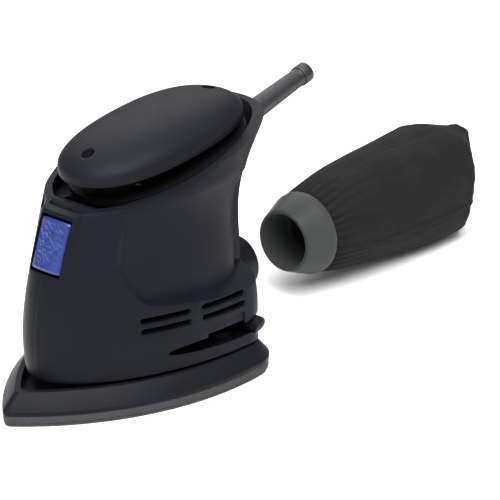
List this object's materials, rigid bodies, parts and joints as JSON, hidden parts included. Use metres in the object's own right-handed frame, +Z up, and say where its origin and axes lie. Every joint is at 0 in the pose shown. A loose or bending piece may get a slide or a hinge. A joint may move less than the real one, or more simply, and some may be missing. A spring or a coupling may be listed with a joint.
{
  "type": "palm orbital sander",
  "caption": "Corded palm detail sander with an iron-shaped orbiting pad, front rocker switch, rear dust port and pull-off fabric dust bag.",
  "frame": {"origin": "on the sanding sheet's lower face, on the motor's axis", "axes": "+Z up along the motor shaft, +X to the rear along the dust port's axis, the pad's point towards -X, +Y to the side that the case screws enter from"},
  "size_m": [0.3202, 0.098, 0.1186],
  "materials": {
    "body_plastic": "satin",
    "cap_plastic": "satin",
    "inner_plastic": "matte",
    "port_plastic": "satin",
    "switch_blue": "soft satin",
    "boot_rubber": "matte",
    "capacitor_case": "gloss",
    "terminal_plastic": "matte",
    "lamination_steel": "ground",
    "copper_wire": "enamelled",
    "copper_bars": "turned",
    "brass": "satin",
    "carbon": "matte",
    "spring_steel": "drawn",
    "bearing_steel": "ground",
    "screw_steel": "black oxide",
    "fan_plastic": "satin",
    "weight_iron": "as cast",
    "cast_aluminium": "as cast",
    "base_plastic": "satin",
    "pad_foam": "matte",
    "hook_fabric": "matte",
    "abrasive_paper": "gritty",
    "collar_plastic": "satin",
    "elastic": "matte",
    "bag_fabric": "twill"
  },
  "bodies": {
    "housing": {"housing_left": "body_plastic", "housing_right": "body_plastic", "case_screws": "screw_steel", "palm_cap": "cap_plastic", "cap_screws": "screw_steel", "intake_deck": "inner_plastic", "switch_body": "inner_plastic", "cord_boot": "boot_rubber", "dust_port": "port_plastic", "support_posts": "boot_rubber", "suppression_capacitor": "capacitor_case", "terminal_block": "terminal_plastic", "field_stator": "lamination_steel", "field_coils": "copper_wire", "stator_bolts": "screw_steel", "bearing_bracket": "cast_aluminium", "bracket_screws": "screw_steel", "brush_holders": "brass", "brush_spring_left": "spring_steel", "brush_spring_right": "spring_steel", "bearing_damper": "boot_rubber", "upper_bearing_outer_ring": "bearing_steel", "lower_bearing_outer_ring": "bearing_steel"},
    "rotor": {"motor_shaft": "bearing_steel", "armature_core": "lamination_steel", "armature_windings": "copper_wire", "commutator": "copper_bars", "motor_fan": "fan_plastic", "counterweight": "weight_iron", "upper_bearing_inner_ring": "bearing_steel", "lower_bearing_inner_ring": "bearing_steel", "eccentric_bearing_inner_ring": "bearing_steel", "retaining_washer": "screw_steel", "retaining_screw": "screw_steel"},
    "pad": {"platen": "base_plastic", "eccentric_bearing_outer_ring": "bearing_steel", "foam_pad": "pad_foam", "hook_layer": "hook_fabric", "sanding_sheet": "abrasive_paper"},
    "switch": {"switch_rocker": "inner_plastic", "switch_cover": "switch_blue"},
    "left_brush": {"carbon_brush_left": "carbon"},
    "right_brush": {"carbon_brush_right": "carbon"},
    "bag": {"bag_collar": "collar_plastic", "bag_elastic": "elastic", "dust_bag": "bag_fabric"}
  },
  "joints": [
    {"name": "motor_spin", "type": "hinge", "parent": "housing", "child": "rotor", "pos_m": [0, 0, 0.06], "axis": [0, 0, 1], "continuous": true},
    {"name": "pad_orbit", "type": "hinge", "parent": "rotor", "child": "pad", "pos_m": [0.001, 0, 0.012], "axis": [0, 0, 1], "continuous": true},
    {"name": "switch_rock", "type": "hinge", "parent": "housing", "child": "switch", "pos_m": [-0.03388, 0, 0.069], "axis": [0, 1, 0], "range_deg": [0, 6]},
    {"name": "left_brush_slide", "type": "slide", "parent": "housing", "child": "left_brush", "axis": [0, -1, 0], "range_m": [0, 0.004], "deforming": ["brush_spring_left"]},
    {"name": "right_brush_slide", "type": "slide", "parent": "housing", "child": "right_brush", "axis": [0, 1, 0], "range_m": [0, 0.004], "deforming": ["brush_spring_right"]},
    {"name": "bag_slide", "type": "slide", "parent": "housing", "child": "bag", "axis": [1, 0, 0], "range_m": [-0.0502, 0.03]}
  ],
  "couplings": [
    {"joint": "pad_orbit", "follows": "motor_spin", "ratio": -1}
  ]
}
